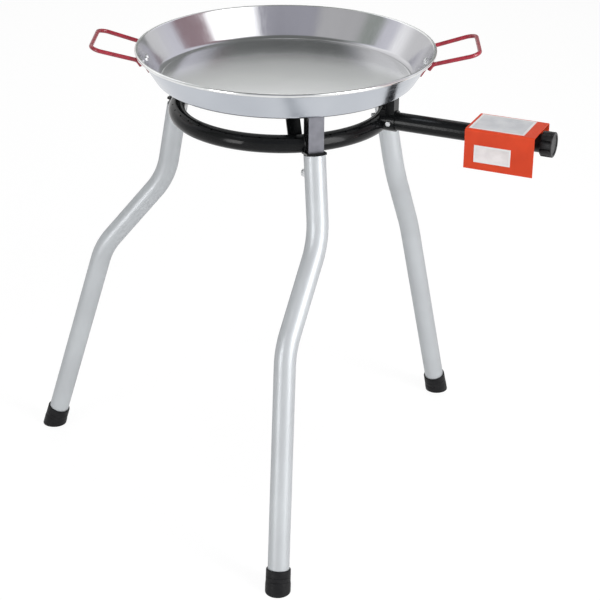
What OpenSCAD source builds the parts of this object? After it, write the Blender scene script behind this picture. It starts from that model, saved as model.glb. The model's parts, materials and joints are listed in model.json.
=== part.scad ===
// Paella burner: one gas ring on three bent tube legs, with its arm, tap, cover and pan.
// Millimetres. The origin is on the floor under the ring's axis, +Z is up, the gas arm runs along +X.

/* [Ring] */
// Mean diameter of the burner ring
ring_d = 276; // [240:1:310]
// Diameter of the ring's tube
ring_tube_d = 23.3; // [19:0.1:26]
// Wall of the ring's tube
ring_wall = 2; // [1:0.1:3]
// Height of the ring's centre above the floor
ring_height = 540; // [460:1:620]
// Diameter of a flame port
port_d = 2.6; // [1.5:0.1:4]
// Flame ports in one row
port_count = 40; // [16:1:60]
// Lean of each row of ports from straight up, in degrees
port_tilt = 32; // [15:1:50]

/* [Gas arm] */
// Outer diameter of the arm tube
arm_d = 23.5; // [20:0.1:27]
// Wall of the arm tube
arm_wall = 2; // [1:0.1:3]
// Height of the arm's axis above the ring's centre
arm_rise = 5.7; // [2:0.1:9]
// Distance from the ring's mean circle to the arm tube's inner end
arm_gap = 8; // [6:0.5:10]
// Wall of the socket that holds the arm
socket_wall = 2; // [1.5:0.1:4]
// Reach of the socket outside the ring's mean circle
socket_reach = 25.5; // [22:0.5:40]
// Distance from the ring's mean circle to the socket's inner end
socket_gap = 5; // [4:0.5:6]
// Bore of the gas passage from the arm into the ring
passage_d = 9; // [6:0.5:9.5]

/* [Cover] */
// Distance from the ring's mean circle to the cover's inner end
cover_off = 128; // [100:1:170]
// Length of the cover along the arm
cover_len = 90; // [84:1:110]
// Width of the cover
cover_w = 65; // [56:0.5:80]
// Height of the cover's near side; the far side is shorter
cover_h = 52; // [46:0.5:60]
// Sheet thickness of the cover
cover_sheet = 1; // [0.6:0.1:1.5]
// Height of the cover's top above the arm's axis
cover_rise = 16.5; // [15:0.5:22]
// Outer bend radius of the cover's two long edges
cover_bend_r = 3; // [2:0.5:6]

/* [Gas tap] */
// Distance from the tap's flange out to the cover's outer end
tap_setback = 18; // [16:0.5:22]
// Diameter of the tap's barrel
tap_d = 21; // [16:0.5:23]
// Length of the tap's barrel, with its flange
tap_len = 36; // [30:1:40]
// Diameter of the tap's spindle
spindle_d = 8; // [6:0.5:10]
// Running clearance on the spindle's radius
spindle_clear = 0.05; // [0.02:0.01:0.1]
// Outer diameter of the hose tail
tail_d = 9.5; // [8:0.5:11]
// Length of the hose tail's straight part
tail_len = 24; // [18:1:30]
// Bore of the hose tail
tail_bore_d = 5; // [3:0.5:6]

/* [Knob] */
// Diameter of the control knob
knob_d = 32.5; // [26:0.5:40]
// Length of the control knob
knob_len = 15.5; // [12:0.5:22]
// Number of flutes round the knob
flute_count = 9; // [6:1:14]

/* [Brackets] */
// Angle of the two front brackets either side of the arm, in degrees
bracket_angle = 50; // [40:1:56]
// Width of a bracket's face
bracket_w = 20; // [16:0.5:26]
// Depth of a bracket's folded sides
bracket_depth = 22; // [18:0.5:26]
// Sheet thickness of a bracket
bracket_sheet = 3; // [2:0.1:4]
// Distance from the ring tube to the bracket's outer face
bracket_proud = 11.4; // [9:0.1:14]
// What is left of a bracket's base plate under the ring
base_skin = 0.85; // [0.5:0.05:2]
// Width of a bracket's base plate
base_w = 26; // [24:0.5:34]
// Thickness of a bracket's base plate
base_t = 3; // [2:0.1:5]
// Reach of the base plate beyond the bracket's face
base_lip = 2; // [1:0.5:12]

/* [Pan rests] */
// Angle of the two front rests either side of the arm, in degrees
rest_angle = 58; // [52:1:70]
// Width of a rest
rest_w = 18; // [12:0.5:22]
// Thickness of a rest
rest_t = 4; // [3:0.1:5]
// Distance from the ring's axis to a rest's inner end
rest_inner = 66; // [50:1:80]
// Length of a rest's flat top
rest_flat = 18; // [10:1:25]
// Width of the upright on the arm socket
post_w = 18; // [12:0.5:22]
// Depth of the upright along the arm
post_depth = 12; // [8:0.5:14]

/* [Legs] */
// Outer diameter of a leg tube
leg_d = 28; // [25:0.5:32]
// Wall of a leg tube
leg_wall = 1.5; // [1.2:0.1:2.5]
// Distance from the ring's axis to a leg's axis at the height of the ring's centre
leg_root = 152.4; // [149:0.1:158]
// Outward lean of a leg's upper stretch, in degrees
leg_lean = 10.8; // [5:0.1:14]
// Length from the ring's centre height to a leg's upper bend
leg_upper_len = 120; // [105:1:140]
// Length between a leg's two bends
leg_middle_len = 146; // [125:1:170]
// Turn at the upper bend, in degrees
leg_upper_turn = 29.4; // [15:0.1:35]
// Turn left after the lower bend, in degrees
leg_lower_turn = 6.7; // [0:0.1:12]
// Radius of both bends on the tube's axis
leg_bend_r = 105; // [70:1:130]
// Turn of the two front legs about their spigots, in degrees
front_twist = 57.3; // [30:0.1:80]
// Turn of the rear leg about its spigot, in degrees
rear_twist = 23; // [-30:0.5:60]
// Length of a spigot below its base plate
spigot_len = 48; // [38:1:60]
// Clearance between spigot and leg tube, on the radius
spigot_clear = 0.3; // [0.2:0.05:0.5]

/* [Thumbscrews] */
// Thread diameter of a thumbscrew
screw_d = 6; // [5:0.5:8]
// Distance from a leg's top edge to its thumbscrew
screw_down = 24.5; // [12:0.5:28]
// Width across the corners of the nut that is welded to the leg
nut_d = 11; // [10:0.5:16]
// Height of the nut above the tube
nut_h = 3; // [2:0.5:8]
// Diameter of a thumbscrew's head
head_d = 10; // [8:0.5:20]
// Thickness of a thumbscrew's head
head_h = 3; // [2:0.5:8]
// Running clearance on the thumbscrew's radius
screw_clear = 0.06; // [0.02:0.01:0.1]

/* [Foot caps] */
// Wall of a rubber foot cap
cap_wall = 2.6; // [1.5:0.1:4]
// Length of a foot cap along the leg
cap_len = 30; // [22:1:40]
// Rubber between the tube's end and the floor, along the leg
cap_sole = 11; // [9:0.5:15]

/* [Pan] */
// Outer diameter of the pan over its rolled rim
pan_d = 394; // [380:1:430]
// Height of the pan
pan_h = 42.3; // [38:0.1:60]
// Lean of the pan's wall from upright, in degrees
pan_lean = 32; // [25:1:38]
// Outer radius between the pan's floor and wall
pan_corner_r = 12; // [8:0.5:16]
// Sheet thickness of the pan
pan_sheet = 1.2; // [0.8:0.1:2]
// Diameter of the rolled rim
rim_d = 4.8; // [3.6:0.1:6]
// Height of the pan's underside above the ring's centre
pan_rise = 42.4; // [36:0.1:56]
// Offset of the pan from the ring's axis, along the arm
pan_x = 4.9; // [-6:0.1:6]
// Offset of the pan from the ring's axis, across the arm
pan_y = 2.1; // [-6:0.1:6]
// Gap between the pan and what it stands on
pan_gap = 0.3; // [0.2:0.05:0.5]

/* [Handles] */
// Angle of the handles round the pan, in degrees
handle_angle = 22.4; // [0:0.1:40]
// Diameter of a handle's rod
rod_d = 5.5; // [4:0.1:7]
// Distance between a handle's two side rods at the pan, on their axes
handle_span = 76.5; // [60:0.5:95]
// Outward turn of each side rod, in degrees
handle_flare = 6; // [0:0.5:10]
// Reach of a handle beyond the rim, on the rod's axis
handle_reach = 53; // [40:0.5:65]
// Upward tilt of a handle, in degrees
handle_tilt = 15; // [5:0.5:25]
// Depth of a handle's rods below the rim's top, on the rim's edge
handle_drop = 8.4; // [7.6:0.1:11]
// Bend radius of a handle's outer corners, on the rod's axis
handle_corner_r = 13; // [8:0.5:20]
// Length of a side rod along the pan's wall
tang_len = 9; // [7:0.5:19]
// Thickness of a handle's riveted plate
plate_t = 1.5; // [1:0.1:2.5]
// Height of a handle's plate along the wall
plate_h = 14; // [10:0.5:16]
// Diameter of a rivet's shank
rivet_d = 4; // [3:0.1:5]

/* [Hidden] */
$fn = 64;

// One overrun serves every cut
overrun = 1;

// Where a straight stretch of tube or rod runs into a bend: its lap, and what the bend is fuller by
bend_lap = 0.3;
bend_swell = 0.05;

// Colours
enamel = "#17181a";
steel = "#c9ccd1";
leg_paint = "#c3c8cc";
zinc = "#d4d6d8";
brass = "#c6a253";
orange = "#e4502c";
red = "#c8273a";
rubber = "#1b1b1c";
label_grey = "#d5d8dc";

// The three legs: rear opposite the arm, front and back either side of it
REAR = 0;
FRONT = 1;
BACK = 2;
bracket_angles = [180, -bracket_angle, bracket_angle];
rest_angles = [180, -rest_angle, rest_angle];
leg_twists = [rear_twist, -front_twist, front_twist];
screw_turns = [-90, -90, 90];

// Ring
ring_r = ring_d / 2;
ring_tube_r = ring_tube_d / 2;
port_step = 360 / port_count;

// Arm, cover and tap, as distances along the arm
arm_r = arm_d / 2;
arm_bore_r = arm_r - arm_wall;
arm_z = ring_height + arm_rise;
socket_r = arm_r + socket_wall;
socket_x = ring_r + socket_gap;
socket_end = ring_r + socket_reach;
arm_x = ring_r + arm_gap;
cover_x = ring_r + cover_off;
cover_end = cover_x + cover_len;
tap_end = cover_end - tap_setback;
arm_end = tap_end - tap_len;
// Air slots round the arm, near its outer end
slot_count = 4;
slot_w = 9.4;
slot_len = 14.4;
slot_margin = 7.2;
slot_end = arm_end - slot_margin;
// A hexagonal set screw on each side of the socket, half way along what stands clear of the ring
set_screw_d = 5;
set_head_d = 7;
set_head_h = 2.5;
set_screw_x = ring_r + ring_tube_r + (socket_reach - ring_tube_r) / 2;

// Tap
tap_r = tap_d / 2;
tap_flange = 4;
tap_nose_len = 6;
spindle_r = spindle_d / 2;
spindle_x = arm_end + tap_len / 2;
spindle_end_gap = 0.3;
neck_wall = 3;
neck_r = spindle_r + neck_wall;
neck_len = 5;
gland_wall = 2.5;
gland_d = 2 * (neck_r + gland_wall);
gland_len = 8;
saddle_t = 2;
gland_x = tap_end + saddle_t;
injector_d = 9;
injector_len = 9;
injector_tip_d = 5;
injector_tip_len = 4;
jet_d = 1.2;
jet_holder_d = 12;
inlet_share = 0.45;
inlet_x = arm_end + tap_len * inlet_share;
inlet_boss_d = 16;
inlet_boss_h = 5;
inlet_boss_z = arm_z - tap_r - inlet_boss_h;
inlet_thread_d = 11;
inlet_thread_len = 8;
tail_hex_d = 16;
tail_hex_h = 7;
tail_groove_count = 3;
tail_groove_depth = 0.8;
tail_pitch = tail_len / (tail_groove_count + 1);

// Knob
knob_gap = 1.4;
knob_x = cover_end + knob_gap;
knob_r = knob_d / 2;
knob_chamfer = 1.2;
knob_hub_d = 24;
knob_hub_gap = 0.6;
knob_hub_len = knob_x - gland_x - gland_len - knob_hub_gap;
flute_d = 7.8;
flute_depth = 2.3;
spindle_grip_share = 0.75;
spindle_grip = knob_len * spindle_grip_share;
spindle_end = knob_x + spindle_grip;

// Cover
cover_top = arm_z + cover_rise;
cover_bottom = cover_top - cover_h;
cover_inner_w = cover_w - 2 * cover_sheet;
saddle_inset = 8;
saddle_foot = 5;
saddle_drop = arm_r + saddle_foot;
// The far side ends level with the saddles
cover_far_foot = arm_z - saddle_drop;
saddle_tab = 14;
saddle_tab_t = 1.5;
cover_screw_d = 4;
cover_screw_head_d = 7.5;
cover_screw_head_h = 2.4;
cover_screw_len = 5;
cover_screw_z = arm_z - arm_r / 2;
label_t = 0.3;
// Margins of the two labels on the cover
top_label_side = 4.5;
top_label_inner = 3.5;
top_label_outer = 15;
side_label_inner = 13;
side_label_outer = 29.3;
side_label_upper = 19.8;
side_label_lower = 9.8;

// Brackets
bracket_face = ring_r + ring_tube_r + bracket_proud;
bracket_in = bracket_face - bracket_depth;
pan_z = ring_height + pan_rise;
seat_z = pan_z - pan_gap;
bracket_h = seat_z - ring_height + ring_tube_d;

// Pan rests: a strip from the ring's inner crown up to a flat end under the pan
rest_foot_in_share = 0.6;
rest_foot_up_share = 0.45;
rest_foot_r = ring_r - ring_tube_r * rest_foot_in_share;
rest_foot_z = ring_height + ring_tube_r * rest_foot_up_share;

// Upright: its outer face stands just inside the socket's outer end
post_setback = 1.5;
post_x = socket_end - post_setback - post_depth;

// Legs
leg_r = leg_d / 2;
leg_bore_r = leg_r - leg_wall;
spigot_r = leg_bore_r - spigot_clear;
leg_top_gap = 0.5;
// Along a spigot from the height of the ring's centre: the underside of its base plate, and the leg's top
base_z = ring_tube_r - (leg_root - ring_r) * sin(leg_lean) + base_skin;
leg_top = base_z + leg_top_gap;
upper_tangent = leg_bend_r * tan(leg_upper_turn / 2);
lower_bend = leg_upper_turn - leg_lower_turn;
lower_tangent = leg_bend_r * tan(lower_bend / 2);
// Height lost for each unit of length along a stretch that is turned away from the upper stretch
function fall(turn, twist) = cos(turn) * cos(leg_lean) - sin(turn) * cos(twist) * sin(leg_lean);
function fall_to_lower_bend(twist) =
    leg_upper_len * fall(0, twist) + leg_middle_len * fall(leg_upper_turn, twist);
function lower_needed(twist) =
    (ring_height - fall_to_lower_bend(twist)) / fall(leg_lower_turn, twist);
// All three legs are alike, so the one that reaches the floor first sets the length
leg_lower_len = min([for (twist = leg_twists) lower_needed(twist)]);
function leg_reach(twist) = fall_to_lower_bend(twist) + leg_lower_len * fall(leg_lower_turn, twist);
// How far down its spigot a leg is clamped
function leg_slip(i) = (ring_height - leg_reach(leg_twists[i])) / cos(leg_lean);
screw_z = leg_top + screw_down;
screw_tip_gap = 0.3;
screw_hole_clear = 0.4;
screw_hole_r = screw_d / 2 + screw_hole_clear;
head_gap = 0.4;
head_notches = 10;
head_notch_d = 1.5;

// Foot caps
cap_r = leg_r + cap_wall;

// Pan
rim_r = rim_d / 2;
wall_top_z = pan_z + pan_h - rim_r;
wall_foot_z = pan_z + pan_corner_r - pan_corner_r * sin(pan_lean);
wall_top_r = pan_d / 2 - rim_d + pan_sheet;
wall_foot_r = wall_top_r - (wall_top_z - wall_foot_z) * tan(pan_lean);
floor_r = wall_foot_r - pan_corner_r * cos(pan_lean);
rim_centre_r = pan_d / 2 - rim_r;
corner_steps = 8;
// Outer radius of the pan's wall at a height
function wall_r(z) = wall_foot_r + (z - wall_foot_z) * tan(pan_lean);
// Horizontal thickness of something laid on the wall
function across(t) = t / cos(pan_lean);

// Handles, in a frame whose X points out of the pan through the handle
rod_r = rod_d / 2;
rod_gap = 0.2;
rod_edge_z = pan_z + pan_h - handle_drop;
half_span = handle_span / 2;
loop_x = pan_d / 2 + handle_reach;
// The wall stands back from the handle's middle plane at the side rods, most at the tang's foot
tang_back = wall_r(rod_edge_z) - sqrt(pow(wall_r(rod_edge_z), 2) - pow(half_span, 2));
tang_off = across(plate_t + rod_r + rod_gap) - tang_back;
// Where a side rod's two straight stretches would meet
knee_z = (rod_edge_z - (pan_d / 2 - wall_r(0) - tang_off) * tan(handle_tilt))
    / (1 - tan(pan_lean) * tan(handle_tilt));
knee_x = wall_r(knee_z) + tang_off;
knee_turn = 90 - pan_lean - handle_tilt;
knee_r = 8.8;
knee_tangent = knee_r * tan(knee_turn / 2);
side_run = (loop_x - knee_x) / (cos(handle_tilt) * cos(handle_flare));
// The outer corner's bend, and how far its plane is turned about the side rod
corner_turn = 90 + asin(sin(handle_flare) * cos(handle_tilt));
corner_roll = 90 + atan(tan(handle_flare) * sin(handle_tilt));
corner_tangent = handle_corner_r * tan(corner_turn / 2);
end_bar = handle_span + 2 * (loop_x - knee_x) * tan(handle_flare) - 2 * corner_tangent;
plate_top_z = knee_z - rod_r;
plate_foot_z = plate_top_z - plate_h * cos(pan_lean);
plate_half_angle = asin((half_span + rod_d) / wall_r(plate_foot_z));
rivet_head_d = 8;
rivet_head_h = 1.6;
rivet_spacing = 10.4;
rivet_seat_gap = 0.05;
rivet_inside = pan_sheet + rivet_seat_gap;
rivet_z = (plate_top_z + plate_foot_z) / 2;

// A point list along an arc
function arc(x, y, r, from, to, steps) =
    [for (i = [0:steps]) let (a = from + (to - from) * i / steps) [x + r * cos(a), y + r * sin(a)]];

// Places

// Local X points out from the ring's axis at an angle
module round_ring(angle) {
    rotate([0, 0, angle]) children();
}

// Local Z runs along the arm's axis, starting at a distance from the ring's axis
module along_arm(x) {
    translate([x, 0, arm_z]) rotate([0, 90, 0]) children();
}

// Local Z runs down a spigot's axis, starting at the height of the ring's centre
module down_spigot(i) {
    round_ring(bracket_angles[i])
        translate([leg_root, 0, ring_height])
            rotate([0, -leg_lean, 0])
                rotate([180, 0, 0])
                    children();
}

// The same for a leg: local X is the side that the upper bend turns to
module down_leg(i) {
    down_spigot(i)
        translate([0, 0, leg_slip(i)])
            rotate([0, 0, -leg_twists[i]])
                children();
}

// Local Z points out of a leg along its thumbscrew
module along_screw(i) {
    down_leg(i)
        translate([0, 0, screw_z])
            rotate([0, 0, -screw_turns[i]])
                rotate([0, 90, 0])
                    children();
}

// Local X points out of the pan at an angle round it
module round_pan(angle) {
    translate([pan_x, pan_y, 0]) rotate([0, 0, angle]) children();
}

// Local Z stands square on the outside of the pan's wall at a height
module on_wall(z) {
    translate([wall_r(z), 0, z]) rotate([0, 90 + pan_lean, 0]) children();
}

// Bent tube and rod, starting at the origin along local Z

// A bend towards local X, a hair fuller than the straight stretches that run into it
module bend(turn, bend_r, r, bore_r = 0) {
    translate([bend_r, 0, 0])
        rotate([90, 0, 180])
            rotate_extrude(angle = turn)
                translate([bend_r, 0])
                    difference() {
                        circle(r + bend_swell);
                        if (bore_r > 0)
                            circle(bore_r - bend_swell);
                    }
}

// The place and direction where such a bend ends
module after_bend(turn, bend_r) {
    translate([bend_r * (1 - cos(turn)), 0, bend_r * sin(turn)]) rotate([0, turn, 0]) children();
}

// A straight stretch, lapped into the bend at its start or its end
module run(len, r, bore_r = 0, start_lap = 0, end_lap = 0) {
    translate([0, 0, -start_lap])
        difference() {
            cylinder(h = start_lap + len + end_lap, r = r);
            if (bore_r > 0)
                translate([0, 0, -overrun])
                    cylinder(h = start_lap + len + end_lap + 2 * overrun, r = bore_r);
        }
}

// The leg's lower stretch, from the end of the lower bend
module leg_foot_place() {
    translate([0, 0, leg_upper_len - upper_tangent])
        after_bend(leg_upper_turn, leg_bend_r)
            translate([0, 0, leg_middle_len - upper_tangent - lower_tangent])
                rotate([0, 0, 180])
                    after_bend(lower_bend, leg_bend_r)
                        children();
}

// Burner

module ring_solid(r) {
    translate([0, 0, ring_height]) rotate_extrude() translate([ring_r, 0]) circle(r);
}

module flame_ports() {
    for (i = [0:port_count - 1], side = [-1, 1])
        let (angle = (i + 0.5) * port_step)
            if (ring_r * abs(sin(angle)) > socket_r + port_d || cos(angle) < 0)
                round_ring(angle)
                    translate([ring_r, 0, ring_height])
                        rotate([0, side * port_tilt, 0])
                            cylinder(h = ring_tube_r + overrun, d = port_d);
}

module gas_passage() {
    along_arm(ring_r) cylinder(h = arm_gap + overrun, d = passage_d);
}

module burner_ring() {
    color(enamel)
        difference() {
            ring_solid(ring_tube_r);
            ring_solid(ring_tube_r - ring_wall);
            flame_ports();
            gas_passage();
        }
}

// Local Z points out of the socket along a set screw
module along_set_screw(side) {
    translate([set_screw_x, 0, arm_z]) rotate([-side * 90, 0, 0]) children();
}

module arm_socket() {
    color(enamel)
        difference() {
            along_arm(socket_x) cylinder(h = socket_end - socket_x, r = socket_r);
            ring_solid(ring_tube_r);
            along_arm(arm_x) cylinder(h = socket_end, r = arm_r);
            gas_passage();
            for (side = [-1, 1])
                along_set_screw(side) cylinder(h = socket_r + overrun, d = set_screw_d);
        }
}

module mixer_arm() {
    color(enamel)
        difference() {
            along_arm(arm_x) run(arm_end - arm_x, arm_r, arm_bore_r);
            ring_solid(ring_tube_r);
            for (i = [0:slot_count - 1])
                along_arm(slot_end - slot_len)
                    rotate([0, 0, (i + 0.5) * 360 / slot_count])
                        translate([0, -slot_w / 2, 0])
                            cube([arm_r + overrun, slot_w, slot_len]);
        }
}

module arm_screws() {
    color(zinc)
        for (side = [-1, 1])
            along_set_screw(side) {
                translate([0, 0, arm_r]) cylinder(h = socket_wall, d = set_screw_d);
                translate([0, 0, socket_r]) cylinder(h = set_head_h, d = set_head_d, $fn = 6);
            }
}

// An upright that stands on the socket and ends under the pan
module arm_post() {
    color(enamel)
        difference() {
            translate([post_x, -post_w / 2, arm_z])
                cube([post_depth, post_w, seat_z - arm_z]);
            along_arm(socket_x) cylinder(h = socket_end - socket_x, r = socket_r);
        }
}

// A folded channel, open towards the ring's axis and notched for the ring
module bracket(i) {
    color(enamel)
        difference() {
            round_ring(bracket_angles[i])
                translate([bracket_in, -bracket_w / 2, ring_height - ring_tube_d])
                    difference() {
                        cube([bracket_depth, bracket_w, bracket_h]);
                        translate([-overrun, bracket_sheet, -overrun])
                            cube([
                                bracket_depth - bracket_sheet + overrun,
                                bracket_w - 2 * bracket_sheet,
                                bracket_h + 2 * overrun
                            ]);
                    }
            ring_solid(ring_tube_r);
            down_spigot(i)
                translate([-bracket_depth, -bracket_w, base_z - base_t])
                    cube([2 * bracket_depth, 2 * bracket_w, bracket_h]);
        }
}

// A plate square to the spigot, notched for the ring that lies on it
module base_plate(i) {
    color(enamel)
        difference() {
            down_spigot(i)
                translate([bracket_in - leg_root, -base_w / 2, base_z - base_t])
                    cube([bracket_depth + base_lip, base_w, base_t]);
            ring_solid(ring_tube_r);
        }
}

module spigot(i) {
    color(enamel)
        down_spigot(i)
            translate([0, 0, base_z]) cylinder(h = spigot_len, r = spigot_r);
}

// A strip that rises from the ring's inner crown to a flat end under the pan
module pan_rest(i) {
    color(enamel)
        difference() {
            round_ring(rest_angles[i])
                translate([0, rest_w / 2, 0])
                    rotate([90, 0, 0])
                        linear_extrude(rest_w)
                            polygon([
                                [rest_inner, seat_z],
                                [rest_inner, seat_z - rest_t],
                                [rest_inner + rest_flat, seat_z - rest_t],
                                [rest_foot_r, rest_foot_z - rest_t],
                                [rest_foot_r, rest_foot_z + rest_t / 2],
                                [rest_inner + rest_flat, seat_z]
                            ]);
            ring_solid(ring_tube_r);
        }
}

// Gas tap

module injector() {
    color(brass)
        along_arm(arm_end - tap_nose_len - injector_len)
            difference() {
                union() {
                    cylinder(h = injector_len, d = injector_d, $fn = 6);
                    translate([0, 0, -injector_tip_len]) cylinder(h = injector_tip_len, d = injector_tip_d);
                }
                translate([0, 0, -injector_tip_len - overrun])
                    cylinder(h = injector_tip_len + injector_len + 2 * overrun, d = jet_d);
            }
}

module tap_body() {
    color(brass)
        difference() {
            union() {
                along_arm(arm_end - tap_nose_len) cylinder(h = tap_nose_len, d = jet_holder_d);
                along_arm(arm_end) cylinder(h = tap_flange, r = arm_r);
                along_arm(arm_end) cylinder(h = tap_len, r = tap_r);
                along_arm(tap_end) cylinder(h = neck_len, r = neck_r);
                translate([inlet_x, 0, inlet_boss_z]) cylinder(h = arm_z - inlet_boss_z, d = inlet_boss_d);
            }
            along_arm(arm_end - tap_nose_len - overrun)
                cylinder(h = spindle_x - arm_end + tap_nose_len + overrun, d = tail_bore_d);
            along_arm(spindle_x - spindle_end_gap)
                cylinder(h = tap_len + neck_len, r = spindle_r + spindle_clear);
            translate([inlet_x, 0, inlet_boss_z - overrun])
                cylinder(h = inlet_thread_len + overrun, d = inlet_thread_d);
            translate([inlet_x, 0, inlet_boss_z]) cylinder(h = arm_z - inlet_boss_z, d = tail_bore_d);
        }
}

module tap_gland() {
    color(brass)
        along_arm(gland_x)
            difference() {
                cylinder(h = gland_len, d = gland_d, $fn = 6);
                translate([0, 0, -overrun]) cylinder(h = neck_len - saddle_t + overrun, r = neck_r);
                cylinder(h = gland_len + overrun, r = spindle_r + spindle_clear);
            }
}

module hose_tail() {
    color(brass)
        translate([inlet_x, 0, inlet_boss_z])
            difference() {
                union() {
                    cylinder(h = inlet_thread_len, d = inlet_thread_d);
                    translate([0, 0, -tail_hex_h]) cylinder(h = tail_hex_h, d = tail_hex_d, $fn = 6);
                    translate([0, 0, -tail_hex_h - tail_len]) cylinder(h = tail_len, d = tail_d);
                }
                translate([0, 0, -tail_hex_h - tail_len - overrun])
                    cylinder(h = tail_hex_h + tail_len + inlet_thread_len + 2 * overrun, d = tail_bore_d);
                for (i = [1:tail_groove_count])
                    translate([0, 0, -tail_hex_h - i * tail_pitch])
                        rotate_extrude()
                            polygon([
                                [tail_d / 2 - tail_groove_depth, 0],
                                [tail_d / 2 + overrun, 0],
                                [tail_d / 2 + overrun, tail_groove_depth],
                                [tail_d / 2, tail_groove_depth]
                            ]);
            }
}

module tap_spindle() {
    color(zinc)
        along_arm(spindle_x) cylinder(h = spindle_end - spindle_x, r = spindle_r);
}

module control_knob() {
    color(rubber)
        along_arm(knob_x)
            difference() {
                union() {
                    cylinder(h = knob_len - knob_chamfer, r = knob_r);
                    translate([0, 0, knob_len - knob_chamfer])
                        cylinder(h = knob_chamfer, r1 = knob_r, r2 = knob_r - knob_chamfer);
                    translate([0, 0, -knob_hub_len]) cylinder(h = knob_len, d = knob_hub_d);
                }
                translate([0, 0, -knob_hub_len - overrun])
                    cylinder(h = knob_hub_len + spindle_grip + overrun, r = spindle_r);
                for (i = [0:flute_count - 1])
                    rotate([0, 0, i * 360 / flute_count])
                        translate([knob_r + flute_d / 2 - flute_depth, 0, -overrun])
                            cylinder(h = knob_len + 2 * overrun, d = flute_d);
            }
}

// Cover

// Half of the cover's outline, from its foot to its top, set in by a sheet or by nothing
function cover_side(inset, foot_z) = concat(
    [[cover_w / 2 - inset, foot_z]],
    arc(
        cover_w / 2 - cover_bend_r, cover_top - cover_bend_r, cover_bend_r - inset,
        0, 90, corner_steps
    )
);

function mirrored(points) = [for (p = points) [-p[0], p[1]]];
function backwards(points) = [for (i = [len(points) - 1:-1:0]) points[i]];

// Local Z points out of the cover's far side, at a saddle's tab
module along_cover_screw(x) {
    translate([x, cover_w / 2, cover_screw_z]) rotate([-90, 0, 0]) children();
}

saddle_inner_x = cover_x + saddle_inset;
saddle_screw_xs = [saddle_inner_x + saddle_t + saddle_tab / 2, tap_end - saddle_tab / 2];

module cover() {
    color(orange)
        difference() {
            translate([cover_x, 0, 0])
                rotate([90, 0, 90])
                    linear_extrude(cover_len)
                        polygon(concat(
                            cover_side(0, cover_far_foot),
                            backwards(mirrored(cover_side(0, cover_bottom))),
                            mirrored(cover_side(cover_sheet, cover_bottom)),
                            backwards(cover_side(cover_sheet, cover_far_foot))
                        ));
            for (x = saddle_screw_xs)
                along_cover_screw(x)
                    translate([0, 0, -cover_screw_len])
                        cylinder(h = 2 * cover_screw_len, d = cover_screw_d);
        }
}

// An upright plate across the cover with a tab folded along each of the cover's sides
module saddle(x, tab_from, hole_r) {
    color(enamel)
        difference() {
            union() {
                translate([x, -cover_inner_w / 2, arm_z - saddle_drop])
                    cube([saddle_t, cover_inner_w, saddle_drop + cover_rise - cover_bend_r]);
                for (side = [-1, 1])
                    translate([
                        tab_from,
                        side * (cover_inner_w - saddle_tab_t) / 2 - saddle_tab_t / 2,
                        arm_z - saddle_drop
                    ])
                        cube([saddle_tab, saddle_tab_t, saddle_drop + cover_rise - cover_bend_r]);
            }
            along_arm(x - overrun) cylinder(h = saddle_t + 2 * overrun, r = hole_r);
            for (screw_x = saddle_screw_xs)
                along_cover_screw(screw_x)
                    translate([0, 0, -cover_screw_len]) cylinder(h = cover_screw_len, d = cover_screw_d);
        }
}

module cover_saddle_inner() {
    saddle(saddle_inner_x, saddle_inner_x + saddle_t, arm_r);
}

module cover_saddle_outer() {
    saddle(tap_end, tap_end - saddle_tab, neck_r);
}

module cover_screws() {
    color(zinc)
        for (x = saddle_screw_xs)
            along_cover_screw(x) {
                translate([0, 0, -cover_screw_len]) cylinder(h = cover_screw_len, d = cover_screw_d);
                cylinder(h = cover_screw_head_h, d = cover_screw_head_d);
            }
}

module top_label() {
    color(label_grey)
        translate([cover_x + top_label_inner, -cover_w / 2 + top_label_side, cover_top])
            cube([
                cover_len - top_label_inner - top_label_outer,
                cover_w - 2 * top_label_side,
                label_t
            ]);
}

module side_label() {
    color(label_grey)
        translate([cover_x + side_label_inner, -cover_w / 2 - label_t, cover_bottom + side_label_lower])
            cube([
                cover_len - side_label_inner - side_label_outer,
                label_t,
                cover_h - side_label_upper - side_label_lower
            ]);
}

// Pan

module pan_section() {
    polygon(concat(
        [[0, pan_z]],
        arc(floor_r, pan_z + pan_corner_r, pan_corner_r, -90, -pan_lean, corner_steps),
        [[wall_top_r, wall_top_z], [wall_top_r - across(pan_sheet), wall_top_z]],
        arc(floor_r, pan_z + pan_corner_r, pan_corner_r - pan_sheet, -pan_lean, -90, corner_steps),
        [[0, pan_z + pan_sheet]]
    ));
}

// Local Z stands on the wall's outside at each of a handle's rivets
module at_rivets(angle) {
    for (side = [-1, 1])
        round_pan(angle)
            rotate([0, 0, side * asin(rivet_spacing / 2 / wall_r(rivet_z))])
                on_wall(rivet_z)
                    children();
}

module pan() {
    color(steel)
        difference() {
            round_pan(0)
                union() {
                    rotate_extrude() pan_section();
                    translate([0, 0, wall_top_z])
                        rotate_extrude() translate([rim_centre_r, 0]) circle(rim_r);
                }
            for (angle = [handle_angle, handle_angle + 180])
                at_rivets(angle)
                    translate([0, 0, -rivet_d]) cylinder(h = 2 * rivet_d, d = rivet_d);
        }
}

// A plate bent round the wall, with its two rivet holes
module handle_plate(angle) {
    color(red)
        difference() {
            round_pan(angle - plate_half_angle)
                rotate_extrude(angle = 2 * plate_half_angle)
                    polygon([
                        [wall_r(plate_foot_z), plate_foot_z],
                        [wall_r(plate_foot_z) + across(plate_t), plate_foot_z],
                        [wall_r(plate_top_z) + across(plate_t), plate_top_z],
                        [wall_r(plate_top_z), plate_top_z]
                    ]);
            at_rivets(angle)
                translate([0, 0, -rivet_d]) cylinder(h = 2 * rivet_d, d = rivet_d);
        }
}

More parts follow.
